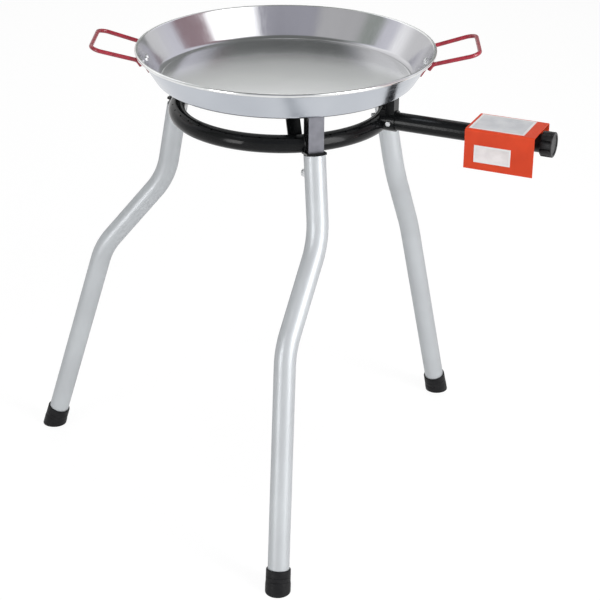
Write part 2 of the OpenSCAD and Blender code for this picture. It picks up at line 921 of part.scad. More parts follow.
module rivets(angle) {
    color(steel)
        at_rivets(angle) {
            translate([0, 0, -rivet_inside - rivet_head_h])
                cylinder(h = rivet_inside + plate_t + 2 * rivet_head_h, d = rivet_d);
            translate([0, 0, plate_t])
                cylinder(h = rivet_head_h, d1 = rivet_head_d, d2 = rivet_d);
            translate([0, 0, -rivet_inside - rivet_head_h])
                cylinder(h = rivet_head_h, d1 = rivet_d, d2 = rivet_head_d);
        }
}

// One side of a handle: the tang on the wall, the side rod and the outer corner
module handle_side() {
    translate([knee_x, half_span, knee_z])
        rotate([0, 0, handle_flare]) {
            rotate([0, 180 + pan_lean, 0])
                translate([0, 0, knee_tangent]) run(tang_len - knee_tangent, rod_r, start_lap = bend_lap);
            rotate([0, pan_lean, 0])
                translate([0, 0, -knee_tangent]) bend(knee_turn, knee_r, rod_r);
            rotate([0, 90 - handle_tilt, 0]) {
                translate([0, 0, knee_tangent])
                    run(
                        side_run - knee_tangent - corner_tangent, rod_r,
                        start_lap = bend_lap, end_lap = bend_lap
                    );
                translate([0, 0, side_run - corner_tangent])
                    rotate([0, 0, -corner_roll])
                        bend(corner_turn, handle_corner_r, rod_r);
            }
        }
}

module handle(angle) {
    color(red)
        round_pan(angle) {
            handle_side();
            mirror([0, 1, 0]) handle_side();
            translate([loop_x, -end_bar / 2, knee_z + side_run * sin(handle_tilt)])
                rotate([-90, 0, 0])
                    run(end_bar, rod_r, start_lap = bend_lap, end_lap = bend_lap);
        }
}

// Legs

module leg(i) {
    color(leg_paint)
        difference() {
            down_leg(i) {
                translate([0, 0, leg_top])
                    run(leg_upper_len - upper_tangent - leg_top, leg_r, leg_bore_r, end_lap = bend_lap);
                translate([0, 0, leg_upper_len - upper_tangent]) {
                    bend(leg_upper_turn, leg_bend_r, leg_r, leg_bore_r);
                    after_bend(leg_upper_turn, leg_bend_r) {
                        run(
                            leg_middle_len - upper_tangent - lower_tangent, leg_r, leg_bore_r,
                            start_lap = bend_lap, end_lap = bend_lap
                        );
                        translate([0, 0, leg_middle_len - upper_tangent - lower_tangent])
                            rotate([0, 0, 180]) bend(lower_bend, leg_bend_r, leg_r, leg_bore_r);
                    }
                }
                leg_foot_place()
                    run(leg_lower_len - lower_tangent - cap_sole, leg_r, leg_bore_r, start_lap = bend_lap);
            }
            along_screw(i) cylinder(h = leg_d, r = screw_hole_r);
        }
}

module clamp_nut(i) {
    color(zinc)
        difference() {
            along_screw(i) cylinder(h = leg_r + nut_h, d = nut_d, $fn = 6);
            down_leg(i) translate([0, 0, leg_top]) cylinder(h = screw_down + leg_d, r = leg_r);
            along_screw(i) cylinder(h = leg_r + nut_h + overrun, r = screw_d / 2 + screw_clear);
        }
}

// A cap on the leg's end, cut flat on the floor
module foot_cap(i) {
    color(rubber)
        difference() {
            down_leg(i)
                leg_foot_place()
                    translate([0, 0, leg_lower_len - lower_tangent - cap_len])
                        difference() {
                            cylinder(h = cap_len + cap_r, r = cap_r);
                            translate([0, 0, -overrun])
                                cylinder(h = cap_len - cap_sole + overrun, r = leg_r);
                        }
            translate([-ring_height, -ring_height, -cap_len - cap_r])
                cube([2 * ring_height, 2 * ring_height, cap_len + cap_r]);
        }
}

module thumbscrew(i) {
    head_z = leg_r + nut_h + head_gap;
    color(zinc)
        along_screw(i) {
            translate([0, 0, spigot_r + screw_tip_gap])
                cylinder(h = head_z - spigot_r - screw_tip_gap, d = screw_d);
            difference() {
                translate([0, 0, head_z]) cylinder(h = head_h, d = head_d);
                for (n = [0:head_notches - 1])
                    rotate([0, 0, n * 360 / head_notches])
                        translate([head_d / 2, 0, head_z - overrun])
                            cylinder(h = head_h + 2 * overrun, d = head_notch_d);
            }
        }
}

burner_ring();
arm_socket();
mixer_arm();
arm_screws();
arm_post();
bracket(REAR);  // bracket_rear
bracket(FRONT);  // bracket_front
bracket(BACK);  // bracket_back
base_plate(REAR);  // base_plate_rear
base_plate(FRONT);  // base_plate_front
base_plate(BACK);  // base_plate_back
spigot(REAR);  // spigot_rear
spigot(FRONT);  // spigot_front
spigot(BACK);  // spigot_back
pan_rest(REAR);  // pan_rest_rear
pan_rest(FRONT);  // pan_rest_front
pan_rest(BACK);  // pan_rest_back
injector();
tap_body();
tap_gland();
hose_tail();
tap_spindle();
control_knob();
cover();
cover_saddle_inner();
cover_saddle_outer();
cover_screws();
top_label();
side_label();
pan();
handle(handle_angle + 180);  // handle_left
handle(handle_angle);  // handle_right
handle_plate(handle_angle + 180);  // handle_plate_left
handle_plate(handle_angle);  // handle_plate_right
rivets(handle_angle + 180);  // rivets_left
rivets(handle_angle);  // rivets_right
leg(REAR);  // leg_rear
leg(FRONT);  // leg_front
leg(BACK);  // leg_back
clamp_nut(REAR);  // clamp_nut_rear
clamp_nut(FRONT);  // clamp_nut_front
clamp_nut(BACK);  // clamp_nut_back
foot_cap(REAR);  // foot_cap_rear
foot_cap(FRONT);  // foot_cap_front
foot_cap(BACK);  // foot_cap_back
thumbscrew(REAR);  // thumbscrew_rear
thumbscrew(FRONT);  // thumbscrew_front
thumbscrew(BACK);  // thumbscrew_back
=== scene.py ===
import json
import math

import bmesh
import bpy
from mathutils import Matrix, Vector

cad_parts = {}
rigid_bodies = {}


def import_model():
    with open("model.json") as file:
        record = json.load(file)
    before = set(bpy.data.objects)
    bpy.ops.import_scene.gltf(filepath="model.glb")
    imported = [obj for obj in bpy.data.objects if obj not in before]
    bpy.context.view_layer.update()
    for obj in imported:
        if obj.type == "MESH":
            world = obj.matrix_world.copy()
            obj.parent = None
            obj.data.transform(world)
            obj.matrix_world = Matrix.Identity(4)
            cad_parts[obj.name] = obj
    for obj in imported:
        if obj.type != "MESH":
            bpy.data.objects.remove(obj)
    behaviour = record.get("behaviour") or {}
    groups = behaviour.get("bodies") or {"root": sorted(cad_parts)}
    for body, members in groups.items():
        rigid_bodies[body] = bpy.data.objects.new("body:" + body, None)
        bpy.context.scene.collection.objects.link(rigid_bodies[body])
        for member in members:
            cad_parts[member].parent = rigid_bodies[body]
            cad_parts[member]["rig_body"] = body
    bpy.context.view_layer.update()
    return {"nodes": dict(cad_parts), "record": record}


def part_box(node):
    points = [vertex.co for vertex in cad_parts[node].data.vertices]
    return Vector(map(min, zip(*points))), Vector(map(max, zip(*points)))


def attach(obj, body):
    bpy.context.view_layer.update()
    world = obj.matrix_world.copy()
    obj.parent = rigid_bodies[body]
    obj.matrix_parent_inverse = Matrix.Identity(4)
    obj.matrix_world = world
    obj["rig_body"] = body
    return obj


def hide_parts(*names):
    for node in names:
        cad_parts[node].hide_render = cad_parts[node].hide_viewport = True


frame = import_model()

# Sizes in metres and angles in radians. The origin is on the floor under the ring's axis, and the gas arm
# runs along +X. What the frame can say is read from it.
SLOT_OF = {row["node"]: row["material_slot"] for row in frame["record"]["subparts"]}
LEGS = ("rear", "front", "back")

ring_low, ring_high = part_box("burner_ring")
RING_TUBE_R = (ring_high.z - ring_low.z) / 2
RING_R = (ring_high.x - ring_low.x) / 2 - RING_TUBE_R
RING_Z = (ring_high.z + ring_low.z) / 2

BRACKET_ANGLE = dict(rear=math.pi, front=math.radians(-50), back=math.radians(50))
BRACKET_W = 0.020
WELD_R = 0.0016
WELD_ARC = (math.radians(-62), math.radians(80))

LEG_R = 0.014
LEG_BORE_R = 0.0125
LEG_ROOT = 0.1524
LEG_LEAN = math.radians(10.8)
LEG_TOP = 0.0103
LEG_UPPER = 0.120
LEG_MIDDLE = 0.146
LEG_LOWER = 0.31588
LEG_UPPER_TURN = math.radians(29.4)
LEG_LOWER_TURN = math.radians(6.7)
LEG_BEND_R = 0.105
LEG_TWIST = dict(rear=math.radians(23), front=math.radians(-57.3), back=math.radians(57.3))
CAP_R = 0.0166
CAP_LEN = 0.030
CAP_SOLE = 0.011
CAP_LIP = 0.0009
CAP_GROOVE = 0.0005
CAP_GROOVES = (-0.021, -0.015)
CAP_BAND = -0.010

pan_low, pan_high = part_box("pan")
PAN_CENTRE = (pan_low + pan_high) / 2
PAN_R = (pan_high.x - pan_low.x) / 2
PAN_Z = pan_low.z
PAN_LEAN = math.radians(32)
PAN_CORNER_R = 0.012
PAN_SHEET = 0.0012
PAN_DOME = 0.002
RIM_R = 0.0024
RIM_ROLL = (math.radians(-149), math.radians(150))
WALL_TOP_Z = pan_high.z - RIM_R
WALL_TOP_R = PAN_R - 2 * RIM_R + PAN_SHEET
WALL_FOOT_Z = PAN_Z + PAN_CORNER_R * (1 - math.sin(PAN_LEAN))
WALL_FOOT_R = WALL_TOP_R - (WALL_TOP_Z - WALL_FOOT_Z) * math.tan(PAN_LEAN)
PAN_FLOOR_R = WALL_FOOT_R - PAN_CORNER_R * math.cos(PAN_LEAN)

HANDLE_ANGLE = dict(right=math.radians(22.4), left=math.radians(202.4))
HANDLE_TILT = math.radians(15)
HANDLE_SPAN = 0.0765
HANDLE_FLARE = math.radians(6)
HANDLE_REACH = 0.053
HANDLE_DROP = 0.0084
HANDLE_CORNER_R = 0.013
ROD_R = 0.00275
ROD_GAP = 0.0002
ROD_END_R = 0.0012
KNEE_R = 0.0088
TANG_LEN = 0.009
PLATE_T = 0.0015
PLATE_H = 0.014
RIVET_R = 0.002
RIVET_HEAD_R = 0.004
RIVET_HEAD_H = 0.0016
RIVET_SPACING = 0.0104
RIVET_SEAT = 0.00005

knob_low, knob_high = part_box("control_knob")
KNOB_R = (knob_high.y - knob_low.y) / 2
KNOB_LEN = 0.0155
KNOB_HUB_R = 0.012
KNOB_HUB_LEN = knob_high.x - knob_low.x - KNOB_LEN
KNOB_FLUTES = 9
KNOB_EDGE = 0.0012
KNOB_DISH = 0.0010
KNOB_DISH_SHARES = (0.80, 0.77)
KNOB_RINGS = (0.25, 0.45, 0.65, 0.8, 0.88)
FLUTE_DEPTH = 0.0023
FLUTE_END = KNOB_LEN * 0.93
FLUTE_FADE = KNOB_LEN * 0.12

PLATE_EDGE = 0.0006
HANDLE_PLATE_EDGE = 0.0004
SMALL_EDGE = 0.0003
TOP_LABEL_BORDER = 0.003
SIDE_LABEL_BORDER = 0.0022

# Facets round and along the turned and bent pieces
PAN_STEPS, PAN_CORNER_STEPS, RIM_STEPS, DOME_STEPS = 288, 16, 28, 12
ROD_SIDES, ROD_BEND_STEPS = 28, 12
LEG_SIDES, LEG_BEND_STEPS = 56, 20
CAP_STEPS, RIVET_STEPS, RIVET_DOME_STEPS, KNOB_STEPS = 64, 32, 8, 180
WELD_SIDES, WELD_STEPS = 10, 40

# What stands round the object in the studio: from and to a bearing in degrees, and its colour
STUDIO_WALLS = (
    (-180, -176, 1.6),
    (-176, -160, (1.06, 1.06, 1.14)),
    (-160, -142, (0.50, 0.54, 0.50)),
    (-142, -98, 0.76),
    (-98, -37, (0.54, 0.54, 0.60)),
    (-37, 11, 2.2),
    (11, 42, (0.48, 0.35, 0.38)),
    (42, 78, (1.02, 1.02, 1.10)),
    (78, 144, 1.05),
    (144, 170, 1.3),
    (170, 180, 1.6),
)
WALL_SOFT = 0.006
# Heights on the studio's sphere where the paper ends and the walls begin, and where the ceiling begins
PAPER_EDGE = (0.22, 0.36)
CEILING_EDGE = (0.76, 0.92)
CEILING_TONE = (0.24, 0.25, 0.24, 1)
# A dark screen behind the object, by bearings, and the bright window in its upper part
SCREEN = (78, 128)
SCREEN_TONE = (0.36, 0.37, 0.36, 1)
WINDOW = (108, 120.5)
WINDOW_SOFT = 0.004
WINDOW_EDGE = (0.345, 0.375)
WINDOW_TONE = (1.9, 1.9, 1.9, 1)
STUDIO_STRENGTH = 0.9

# Softboxes: name, place, what each points at, size, power, and whether it shows in what shines
LAMPS = (
    ("key", (2.15, -0.60, 1.35), (0, 0, 1.2), (0.9, 2.5), 45, True),
    ("fill", (-1.0, -2.55, 0.8), (0, 0, 0.6), (0.8, 1.4), 24, True),
    ("front", (1.6, -2.2, 2.4), (0, 0, 0.4), (1.2, 1.2), 12, False),
    ("top", (0, 0, 3.6), (0, 0, 0), (3, 3), 54, False),
    ("back", (-1.2, 2.4, 1.8), (0, 0, 0.4), (1.6, 1.6), 14, False),
)

FLOOR_HALF = 30
FLOOR_DROP = 0.0002
PAPER_TONE = (0.85, 0.85, 0.85, 1)
PAPER_SHADE = (0.16, 0.16, 0.16, 1)
PAPER_GLOW = 0.90

# The camera of the photograph
CAMERA_PLACE = Vector((0.8911, -1.9591, 1.2883))
CAMERA_TURN = math.radians(23.76)
CAMERA_PITCH = math.radians(25.59)
CAMERA_ROLL = math.radians(0.43)
CAMERA_LENS = 102.58
SENSOR_W = 36


# Meshes

MERGE_DISTANCE = 1e-6


def new_object(name, bm, materials, sharp=math.radians(35), weighted=False):
    """An object from a bmesh: smooth, with edges sharper than an angle kept."""
    bmesh.ops.recalc_face_normals(bm, faces=bm.faces)
    mesh = bpy.data.meshes.new(name)
    bm.to_mesh(mesh)
    bm.free()
    for polygon in mesh.polygons:
        polygon.use_smooth = True
    mesh.set_sharp_from_angle(angle=sharp)
    for material in materials:
        mesh.materials.append(material)
    obj = bpy.data.objects.new(name, mesh)
    bpy.context.scene.collection.objects.link(obj)
    if weighted:
        modifier = obj.modifiers.new("weighted", "WEIGHTED_NORMAL")
        modifier.keep_sharp = True
    return obj


def stand_for(piece, *nodes):
    """The piece takes the place of CAD nodes, on their body, and the nodes are hidden."""
    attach(piece, frame["nodes"][nodes[0]]["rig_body"])
    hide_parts(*nodes)
    return piece


def arc(centre, radius, start, end, steps):
    """Points of a profile along an arc, with angles in radians."""
    return [
        (centre[0] + radius * math.cos(a), centre[1] + radius * math.sin(a))
        for a in (start + (end - start) * i / steps for i in range(steps + 1))
    ]


def turned(bm, profile, steps, place=Matrix.Identity(4)):
    """Spins a profile of (radius, height) about local Z and puts it in place."""
    before = set(bm.verts)
    points = [bm.verts.new((r, 0, z)) for r, z in profile]
    lines = [bm.edges.new(pair) for pair in zip(points, points[1:])]
    bmesh.ops.spin(
        bm, geom=points + lines, cent=(0, 0, 0), axis=(0, 0, 1), dvec=(0, 0, 0),
        angle=2 * math.pi, steps=steps, use_merge=True, use_duplicate=False,
    )
    made = [v for v in bm.verts if v not in before]
    bmesh.ops.transform(bm, matrix=place, verts=made)
    bmesh.ops.remove_doubles(bm, verts=made, dist=MERGE_DISTANCE)


def circle_loop(bm, place, radius, sides):
    """The edges of a circle about local Z."""
    verts = bmesh.ops.create_circle(bm, segments=sides, radius=radius, matrix=place)["verts"]
    return list(dict.fromkeys(edge for vert in verts for edge in vert.link_edges))


def pushed(bm, loop, way):
    """Extrudes a loop of edges straight along a way and returns the loop at the far end."""
    made = bmesh.ops.extrude_edge_only(bm, edges=loop)["geom"]
    verts = [g for g in made if isinstance(g, bmesh.types.BMVert)]
    bmesh.ops.translate(bm, vec=way, verts=verts)
    far = set(verts)
    return [g for g in made if isinstance(g, bmesh.types.BMEdge) and far.issuperset(g.verts)]


def swung(bm, loop, centre, axis, angle, steps):
    """Spins a loop of edges round an axis and returns the loop at the far end."""
    verts = list(dict.fromkeys(vert for edge in loop for vert in edge.verts))
    made = bmesh.ops.spin(
        bm, geom=verts + loop, cent=centre, axis=axis, dvec=(0, 0, 0),
        angle=angle, steps=steps, use_merge=False, use_duplicate=False,
    )
    return [g for g in made["geom_last"] if isinstance(g, bmesh.types.BMEdge)]


def bent_skin(bm, corners, bends, radius, sides, steps):
    """A round skin from corner to corner, bent at each inner one. Returns the loops at its two ends."""
    along = corners[1] - corners[0]
    place = Matrix.Translation(corners[0]) @ along.to_track_quat("Z", "Y").to_matrix().to_4x4()
    first = loop = circle_loop(bm, place, radius, sides)
    at = corners[0]
    for before, corner, after, bend_r in zip(corners, corners[1:], corners[2:], bends):
        into, out = (corner - before).normalized(), (after - corner).normalized()
        angle = into.angle(out)
        axis = into.cross(out).normalized()
        reach = bend_r * math.tan(angle / 2)
        start = corner - into * reach
        loop = pushed(bm, loop, start - at)
        loop = swung(bm, loop, start + axis.cross(into) * bend_r, axis, angle, steps)
        at = corner + out * reach
    return first, pushed(bm, loop, corners[-1] - at)


def round_ends(bm, loops, width):
    """Closes the ends of a rod and rounds their edges."""
    for loop in loops:
        bmesh.ops.contextual_create(bm, geom=loop)
    bmesh.ops.bevel(
        bm, geom=[edge for loop in loops for edge in loop], offset=width, offset_type="OFFSET",
        affect="EDGES", segments=4, profile=0.5, clamp_overlap=True, material=-1,
    )


def softened(node, materials, width, segments=2, corner=math.radians(30), paint=None):
    """A CAD node's own shape with its sharp edges rounded. paint picks a face's material by its normal."""
    bm = bmesh.new()
    bm.from_mesh(frame["nodes"][node].data)
    bmesh.ops.remove_doubles(bm, verts=bm.verts, dist=MERGE_DISTANCE)
    bmesh.ops.dissolve_limit(bm, angle_limit=math.radians(0.5), verts=bm.verts, edges=bm.edges)
    bmesh.ops.recalc_face_normals(bm, faces=bm.faces)
    for face in bm.faces:
        face.material_index = paint(face.normal) if paint else 0
    edges = [e for e in bm.edges if e.is_manifold and e.calc_face_angle(0) > corner]
    bmesh.ops.bevel(
        bm, geom=edges, offset=width, offset_type="OFFSET", affect="EDGES", segments=segments,
        profile=0.5, clamp_overlap=True, material=-1,
    )
    return stand_for(new_object(node + "_soft", bm, materials, weighted=True), node)


# Materials

def add(tree, kind, inputs=None, **settings):
    """One shader node, with its inputs set or linked and its own settings."""
    node = tree.nodes.new(kind)
    for key, value in settings.items():
        setattr(node, key, value)
    for key, value in (inputs or {}).items():
        if isinstance(value, bpy.types.NodeSocket):
            tree.links.new(value, node.inputs[key])
        else:
            node.inputs[key].default_value = value
    return node


def new_material(name, **constants):
    """A material with a Principled shader, the constants set on its sockets, and Object coordinates."""
    material = bpy.data.materials.new(name)
    material.use_nodes = True
    tree = material.node_tree
    shader = tree.nodes["Principled BSDF"]
    for key, value in constants.items():
        shader.inputs[key.replace("_", " ")].default_value = value
    place = add(tree, "ShaderNodeTexCoord").outputs["Object"]
    return material, tree, shader, place


def noise(tree, place, scale, detail=3, roughness=0.5):
    return add(
        tree, "ShaderNodeTexNoise",
        {"Vector": place, "Scale": scale, "Detail": detail, "Roughness": roughness},
    ).outputs["Fac"]


def ramp(tree, factor, stops):
    """A colour ramp through (place, colour) stops; a number is a grey."""
    node = add(tree, "ShaderNodeValToRGB", {"Fac": factor})
    elements = node.color_ramp.elements
    while len(elements) < len(stops):
        elements.new(0.5)
    for element, (place, colour) in zip(elements, stops):
        element.position = place
        element.color = (colour, colour, colour, 1) if isinstance(colour, (int, float)) else (*colour, 1)
    return node.outputs["Color"]


def math_node(tree, operation, *values):
    node = tree.nodes.new("ShaderNodeMath")
    node.operation = operation
    for socket, value in zip(node.inputs, values):
        if isinstance(value, bpy.types.NodeSocket):
            tree.links.new(value, socket)
        else:
            socket.default_value = value
    return node.outputs["Value"]


def blend(tree, factor, first, second):
    """A colour between two, each a colour or a socket."""
    node = add(tree, "ShaderNodeMix", {"Factor": factor}, data_type="RGBA")
    for socket, value in zip(node.inputs[6:8], (first, second)):
        if isinstance(value, bpy.types.NodeSocket):
            tree.links.new(value, socket)
        else:
            socket.default_value = value
    return node.outputs[2]


def bump(tree, shader, height, strength, distance):
    node = add(tree, "ShaderNodeBump", {"Height": height, "Strength": strength, "Distance": distance})
    tree.links.new(node.outputs["Normal"], shader.inputs["Normal"])


def between(tree, shader, name, factor, first, second, low=0.3, high=0.7):
    """Takes a shader input from one value to another as a factor rises."""
    tree.links.new(ramp(tree, factor, [(low, first), (high, second)]), shader.inputs[name])


def round_pan(tree, place):
    """Angle round the pan's axis as a share of a turn, distance from it, and height."""
    parts = add(tree, "ShaderNodeSeparateXYZ", {"Vector": place}).outputs
    x = math_node(tree, "SUBTRACT", parts["X"], PAN_CENTRE.x)
    y = math_node(tree, "SUBTRACT", parts["Y"], PAN_CENTRE.y)
    turn = math_node(tree, "ARCTAN2", y, x)
    share = math_node(tree, "MULTIPLY_ADD", turn, 0.5 / math.pi, 0.5)
    squares = math_node(tree, "ADD", math_node(tree, "MULTIPLY", x, x), math_node(tree, "MULTIPLY", y, y))
    return share, math_node(tree, "SQRT", squares), parts["Z"]


def enamel():
    """Glossy black enamel, a little uneven, with fine grey specks."""
    material, tree, shader, place = new_material("black_enamel", Specular_IOR_Level=0.16)
    specks = noise(tree, place, 900, 2)
    between(tree, shader, "Base Color", specks, (0.006, 0.0065, 0.007), (0.03, 0.031, 0.034), 0.62, 0.78)
    between(tree, shader, "Roughness", noise(tree, place, 60), 0.10, 0.20)
    bump(tree, shader, noise(tree, place, 240, 2), 0.12, 0.0006)
    return material


def painted_bracket_sheen():
    """Painted highlight: a satin grey for the light that the brackets' black enamel outer faces reflect."""
    material, tree, shader, place = new_material("painted_bracket_sheen_grey", Metallic=0.55)
    clouds = noise(tree, place, 90)
    between(tree, shader, "Base Color", clouds, (0.17, 0.172, 0.195), (0.22, 0.222, 0.25), 0.35)
    between(tree, shader, "Roughness", noise(tree, place, 300), 0.34, 0.46)
    bump(tree, shader, noise(tree, place, 700, 2), 0.1, 0.0003)
    return material


def pan_floor():
    """Spun satin steel: fine rings round the pan's axis and broad soft clouds."""
    material, tree, shader, place = new_material("pan_floor", Metallic=1.0)
    share, radius, _ = round_pan(tree, place)
    rings = add(tree, "ShaderNodeCombineXYZ", {"X": radius, "Y": math_node(tree, "MULTIPLY", share, 0.02)})
    lines = noise(tree, rings.outputs["Vector"], 1400, 4, 0.7)
    clouds = noise(tree, place, 7, 2)
    between(tree, shader, "Base Color", clouds, (0.68, 0.69, 0.695), (0.74, 0.745, 0.75))
    between(tree, shader, "Roughness", lines, 0.17, 0.20)
    bump(tree, shader, lines, 0.004, 0.0001)
    return material


def pan_wall():
    """Polished steel wall, with streaks that run up it: polishing streaks, partly painted reflections."""
    material, tree, shader, place = new_material("pan_wall", Metallic=1.0)
    share, _, height = round_pan(tree, place)
    up = add(tree, "ShaderNodeCombineXYZ", {"X": share, "Y": math_node(tree, "MULTIPLY", height, 0.25)})
    polish_and_reflection_streaks = noise(tree, up.outputs["Vector"], 16, 2, 0.45)
    fine = noise(tree, up.outputs["Vector"], 260, 3, 0.6)
    # Painted reflection: the lighter and darker streaks stand in partly for streaks of light that the
    # polished wall reflects.
    between(tree, shader, "Base Color", polish_and_reflection_streaks, (0.52, 0.52, 0.54), (0.62, 0.62, 0.64))
    between(tree, shader, "Roughness", fine, 0.10, 0.20)
    bump(tree, shader, fine, 0.05, 0.0004)
    return material


def pan_outside():
    """The outside of the pan: smoother, paler and a little blue."""
    material, tree, shader, place = new_material("pan_outside", Metallic=1.0)
    share, radius, height = round_pan(tree, place)
    turn = math_node(tree, "MULTIPLY", share, 0.05)
    rings = add(tree, "ShaderNodeCombineXYZ", {"X": radius, "Y": height, "Z": turn})
    fine = noise(tree, rings.outputs["Vector"], 500, 3, 0.6)
    clouds = noise(tree, place, 9, 2)
    between(tree, shader, "Base Color", clouds, (0.46, 0.485, 0.53), (0.54, 0.565, 0.61))
    between(tree, shader, "Roughness", fine, 0.17, 0.26)
    bump(tree, shader, fine, 0.05, 0.0003)
    return material


def pan_rim():
    """The rolled rim: bright polished steel."""
    material, tree, shader, place = new_material("pan_rim", Metallic=1.0)
    between(tree, shader, "Base Color", noise(tree, place, 40), (0.70, 0.71, 0.71), (0.82, 0.83, 0.83))
    between(tree, shader, "Roughness", noise(tree, place, 500, 2), 0.10, 0.18)
    return material


def rivet_steel():
    material, tree, shader, place = new_material("rivet_steel", Metallic=1.0)
    between(tree, shader, "Base Color", noise(tree, place, 300), (0.62, 0.63, 0.64), (0.75, 0.76, 0.77))
    between(tree, shader, "Roughness", noise(tree, place, 900), 0.18, 0.32)
    return material


def handle_red():
    """Thick glossy red paint over rod."""
    material, tree, shader, place = new_material("handle_red", Coat_Weight=0.4, Coat_Roughness=0.08)
    between(tree, shader, "Base Color", noise(tree, place, 120), (0.26, 0.008, 0.022), (0.40, 0.014, 0.036))
    between(tree, shader, "Roughness", noise(tree, place, 260), 0.22, 0.36)
    bump(tree, shader, noise(tree, place, 350, 2), 0.15, 0.0005)
    return material


def leg_silver():
    """Satin silver paint on tube, with a fine metallic grain."""
    material, tree, shader, place = new_material(
        "leg_silver", Metallic=0.35, Specular_IOR_Level=0.15, Specular_Tint=(0.5, 0.5, 0.5, 1),
    )
    grain = noise(tree, place, 1800, 2)
    clouds = noise(tree, place, 14, 2)
    between(tree, shader, "Base Color", clouds, (0.52, 0.54, 0.56), (0.57, 0.595, 0.615))
    between(tree, shader, "Roughness", grain, 0.36, 0.46)
    bump(tree, shader, grain, 0.06, 0.0002)
    return material


def cover_orange():
    """Orange powder paint, with its fine orange peel."""
    material, tree, shader, place = new_material("cover_orange", Specular_IOR_Level=0.25)
    between(tree, shader, "Base Color", noise(tree, place, 35), (0.63, 0.046, 0.009), (0.73, 0.059, 0.013))
    between(tree, shader, "Roughness", noise(tree, place, 400), 0.36, 0.5)
    bump(tree, shader, noise(tree, place, 650, 2), 0.12, 0.0003)
    return material


def label_print(name, node, border, first, second):
    """A bare label: a pale border round a grey field that shines a little unevenly."""
    low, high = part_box(node)
    middle, half = (low + high) / 2, (high - low) / 2
    axes = sorted(range(3), key=lambda axis: half[axis])[1:]
    material, tree, shader, place = new_material(name, Specular_IOR_Level=0.5)
    parts = add(tree, "ShaderNodeSeparateXYZ", {"Vector": place}).outputs
    inside = []
    for axis in axes:
        off = math_node(tree, "ABSOLUTE", math_node(tree, "SUBTRACT", parts["XYZ"[axis]], middle[axis]))
        inside.append(math_node(tree, "LESS_THAN", off, half[axis] - border))
    field = math_node(tree, "MULTIPLY", *inside)
    clouds = ramp(tree, noise(tree, place, 60, 2), [(0.35, first), (0.65, second)])
    tree.links.new(blend(tree, field, (0.80, 0.80, 0.80, 1), clouds), shader.inputs["Base Color"])
    between(tree, shader, "Roughness", noise(tree, place, 200), 0.28, 0.42)
    return material


def black_plastic():
    material, tree, shader, place = new_material("knob_plastic", Specular_IOR_Level=0.25)
    clouds = noise(tree, place, 200)
    between(tree, shader, "Base Color", clouds, (0.006, 0.006, 0.007), (0.014, 0.014, 0.015))
    between(tree, shader, "Roughness", noise(tree, place, 600), 0.30, 0.45)
    bump(tree, shader, noise(tree, place, 1500, 2), 0.15, 0.0002)
    return material


def cap_rubber():
    material, tree, shader, place = new_material("cap_rubber", Specular_IOR_Level=0.15)
    clouds = noise(tree, place, 120)
    between(tree, shader, "Base Color", clouds, (0.006, 0.006, 0.007), (0.014, 0.014, 0.015))
    between(tree, shader, "Roughness", noise(tree, place, 400), 0.42, 0.62)
    bump(tree, shader, noise(tree, place, 900, 3), 0.2, 0.0003)
    return material


def zinc_plate():
    material, tree, shader, place = new_material("zinc_plate", Metallic=1.0)
    between(tree, shader, "Base Color", noise(tree, place, 250), (0.58, 0.59, 0.60), (0.72, 0.73, 0.74))
    between(tree, shader, "Roughness", noise(tree, place, 700), 0.24, 0.38)
    bump(tree, shader, noise(tree, place, 1200, 2), 0.1, 0.0002)
    return material


def turned_brass():
    material, tree, shader, place = new_material("turned_brass", Metallic=1.0)
    between(tree, shader, "Base Color", noise(tree, place, 150), (0.52, 0.34, 0.10), (0.66, 0.46, 0.16))
    between(tree, shader, "Roughness", noise(tree, place, 500), 0.22, 0.36)
    bump(tree, shader, noise(tree, place, 1100, 2), 0.1, 0.0002)
    return material


ENAMEL = enamel()
PAINTED_BRACKET_SHEEN = painted_bracket_sheen()
RED = handle_red()
SILVER = leg_silver()
ORANGE = cover_orange()
RUBBER = cap_rubber()
PLASTIC = black_plastic()
ZINC = zinc_plate()
BRASS = turned_brass()
BY_SLOT = dict(
    enamel=ENAMEL, zinc=ZINC, brass=BRASS, knob_plastic=PLASTIC, cover_paint=ORANGE,
    pan_steel=rivet_steel(), handle_paint=RED, leg_paint=SILVER, cap_rubber=RUBBER,
    label=label_print(
        "top_label_print", "top_label", TOP_LABEL_BORDER, (0.57, 0.58, 0.61), (0.68, 0.69, 0.71),
    ),
)


# Pan

def wall_r(z):
    """Outer radius of the pan's wall at a height."""
    return WALL_FOOT_R + (z - WALL_FOOT_Z) * math.tan(PAN_LEAN)


def across(t):
    """Horizontal thickness of something laid on the wall."""
    return t / math.cos(PAN_LEAN)


def pan_zone(face):
    """Which of the pan's finishes a face has: floor, inner wall, outer wall or rolled rim."""
    centre = face.calc_center_median()
    r = math.hypot(centre.x - PAN_CENTRE.x, centre.y - PAN_CENTRE.y)
    if math.hypot(r - (PAN_R - RIM_R), centre.z - WALL_TOP_Z) < RIM_R * 1.02:
        return 3
    if r < PAN_FLOOR_R + PAN_CORNER_R / 4:
        return 0
    return 1 if r < wall_r(centre.z) - across(PAN_SHEET) / 2 else 2


